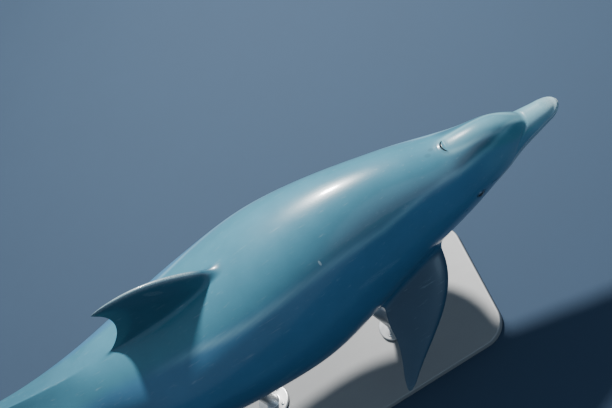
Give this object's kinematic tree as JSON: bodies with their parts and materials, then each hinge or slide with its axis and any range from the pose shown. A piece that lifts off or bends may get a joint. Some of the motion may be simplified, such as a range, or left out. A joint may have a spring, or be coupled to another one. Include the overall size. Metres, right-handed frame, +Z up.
{
  "type": "bottlenose dolphin model",
  "caption": "Life-size still model of a swimming bottlenose dolphin, its body bowed to the left, held over a flat base by short rods.",
  "frame": {"origin": "on the floor, centre of the underside of the stand's base", "axes": "+X towards the snout, +Y to the dolphin's left, +Z up"},
  "size_m": [2.8176, 0.9756, 1.0634],
  "materials": {
    "skin": "wet slate-grey skin, painted and varnished",
    "pale_skin": "wet pale grey skin, painted and varnished",
    "dark_skin": "wet dark slate skin, painted and varnished",
    "eye": "dark glass eye, polished",
    "stand_base": "satin grey lacquer",
    "stand_rod": "satin brushed"
  },
  "bodies": {
    "root": {"upper_jaw": "skin", "lower_jaw": "pale_skin", "head": "skin", "blowhole": "dark_skin", "eye_left": "eye", "eye_right": "eye", "neck": "skin", "chest": "skin", "belly": "skin", "loin": "skin", "tail_stock_front": "skin", "tail_stock_rear": "skin", "tail_end": "skin", "dorsal_fin": "dark_skin", "flipper_left": "dark_skin", "flipper_right": "dark_skin", "fluke_left": "dark_skin", "fluke_right": "dark_skin", "stand_base": "stand_base", "stand_rod_front": "stand_rod", "stand_rod_rear": "stand_rod"}
  },
  "joints": []
}
